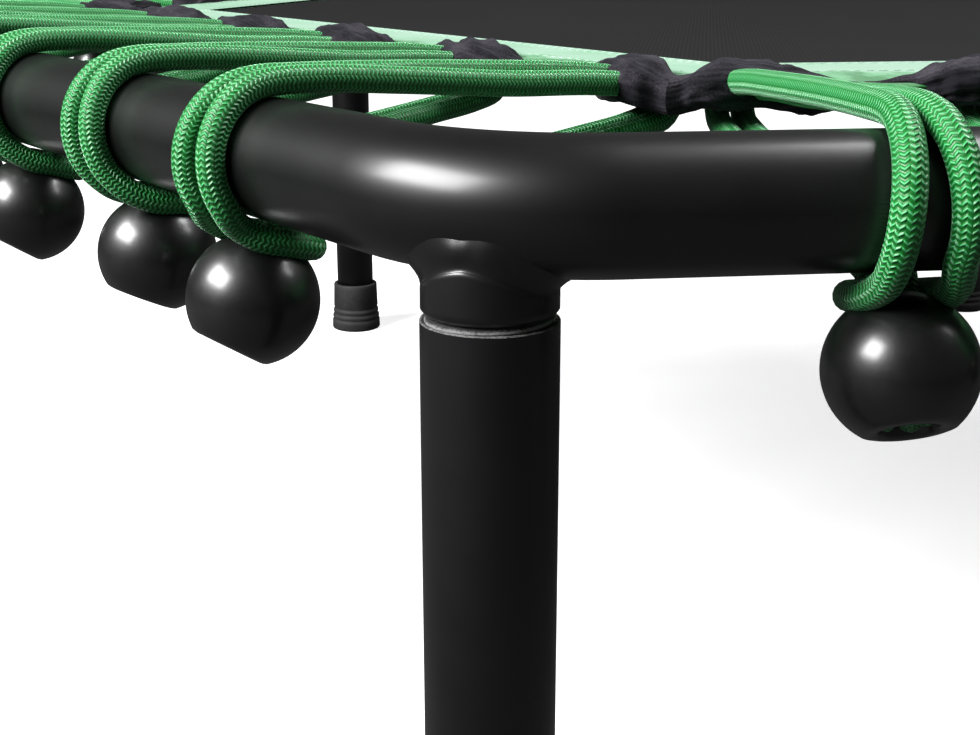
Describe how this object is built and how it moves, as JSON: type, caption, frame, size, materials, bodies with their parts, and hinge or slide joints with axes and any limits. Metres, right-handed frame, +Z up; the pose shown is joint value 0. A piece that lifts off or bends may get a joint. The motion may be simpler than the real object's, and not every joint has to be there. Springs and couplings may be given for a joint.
{
  "type": "fitness trampoline",
  "caption": "Low hexagonal fitness trampoline: a bent tube ring on screw-on legs, with a woven mat hung in it by elastic cords that ball toggles close.",
  "frame": {"origin": "on the floor under the middle of the mat", "axes": "+Z up, with one corner of the ring and its leg towards -Y and a side towards +X"},
  "size_m": [1.071, 1.2062, 0.3255],
  "materials": {
    "frame_paint": "satin powder coat",
    "foot_rubber": "matt",
    "ball_plastic": "soft gloss",
    "cord_green": "braided cover",
    "mat_weave": "fine woven",
    "border_mint": "smooth woven",
    "strap_black": "soft webbing"
  },
  "bodies": {
    "frame": {"frame_half_front": "frame_paint", "frame_half_back": "frame_paint", "leg_stubs": "frame_paint", "toggle_balls_1": "ball_plastic", "toggle_balls_2": "ball_plastic", "toggle_balls_3": "ball_plastic", "toggle_balls_4": "ball_plastic", "toggle_balls_5": "ball_plastic", "toggle_balls_6": "ball_plastic", "elastic_cords_1": "cord_green", "elastic_cords_2": "cord_green", "elastic_cords_3": "cord_green", "elastic_cords_4": "cord_green", "elastic_cords_5": "cord_green", "elastic_cords_6": "cord_green"},
    "mat": {"mat_bed": "mat_weave", "mat_border_1": "border_mint", "mat_border_2": "border_mint", "mat_border_3": "border_mint", "mat_border_4": "border_mint", "mat_border_5": "border_mint", "mat_border_6": "border_mint", "edge_strap_1": "strap_black", "edge_strap_2": "strap_black", "edge_strap_3": "strap_black", "edge_strap_4": "strap_black", "edge_strap_5": "strap_black", "edge_strap_6": "strap_black"},
    "leg_1": {"leg_tube_1": "frame_paint", "foot_cap_1": "foot_rubber"},
    "leg_2": {"leg_tube_2": "frame_paint", "foot_cap_2": "foot_rubber"},
    "leg_3": {"leg_tube_3": "frame_paint", "foot_cap_3": "foot_rubber"},
    "leg_4": {"leg_tube_4": "frame_paint", "foot_cap_4": "foot_rubber"},
    "leg_5": {"leg_tube_5": "frame_paint", "foot_cap_5": "foot_rubber"},
    "leg_6": {"leg_tube_6": "frame_paint", "foot_cap_6": "foot_rubber"}
  },
  "joints": [
    {"name": "leg_1_screw", "type": "slide", "parent": "frame", "child": "leg_1", "axis": [0, 0, -1], "range_m": [0, 0.032]},
    {"name": "leg_2_screw", "type": "slide", "parent": "frame", "child": "leg_2", "axis": [0, 0, -1], "range_m": [0, 0.032]},
    {"name": "leg_3_screw", "type": "slide", "parent": "frame", "child": "leg_3", "axis": [0, 0, -1], "range_m": [0, 0.032]},
    {"name": "leg_4_screw", "type": "slide", "parent": "frame", "child": "leg_4", "axis": [0, 0, -1], "range_m": [0, 0.032]},
    {"name": "leg_5_screw", "type": "slide", "parent": "frame", "child": "leg_5", "axis": [0, 0, -1], "range_m": [0, 0.032]},
    {"name": "leg_6_screw", "type": "slide", "parent": "frame", "child": "leg_6", "axis": [0, 0, -1], "range_m": [0, 0.032]},
    {"name": "mat_bounce", "type": "slide", "parent": "frame", "child": "mat", "axis": [0, 0, 1], "range_m": [-0.1, 0], "stiffness_N_per_m": 8000, "springref_m": 0.01, "deforming": ["elastic_cords_1", "elastic_cords_2", "elastic_cords_3", "elastic_cords_4", "elastic_cords_5", "elastic_cords_6"]}
  ]
}
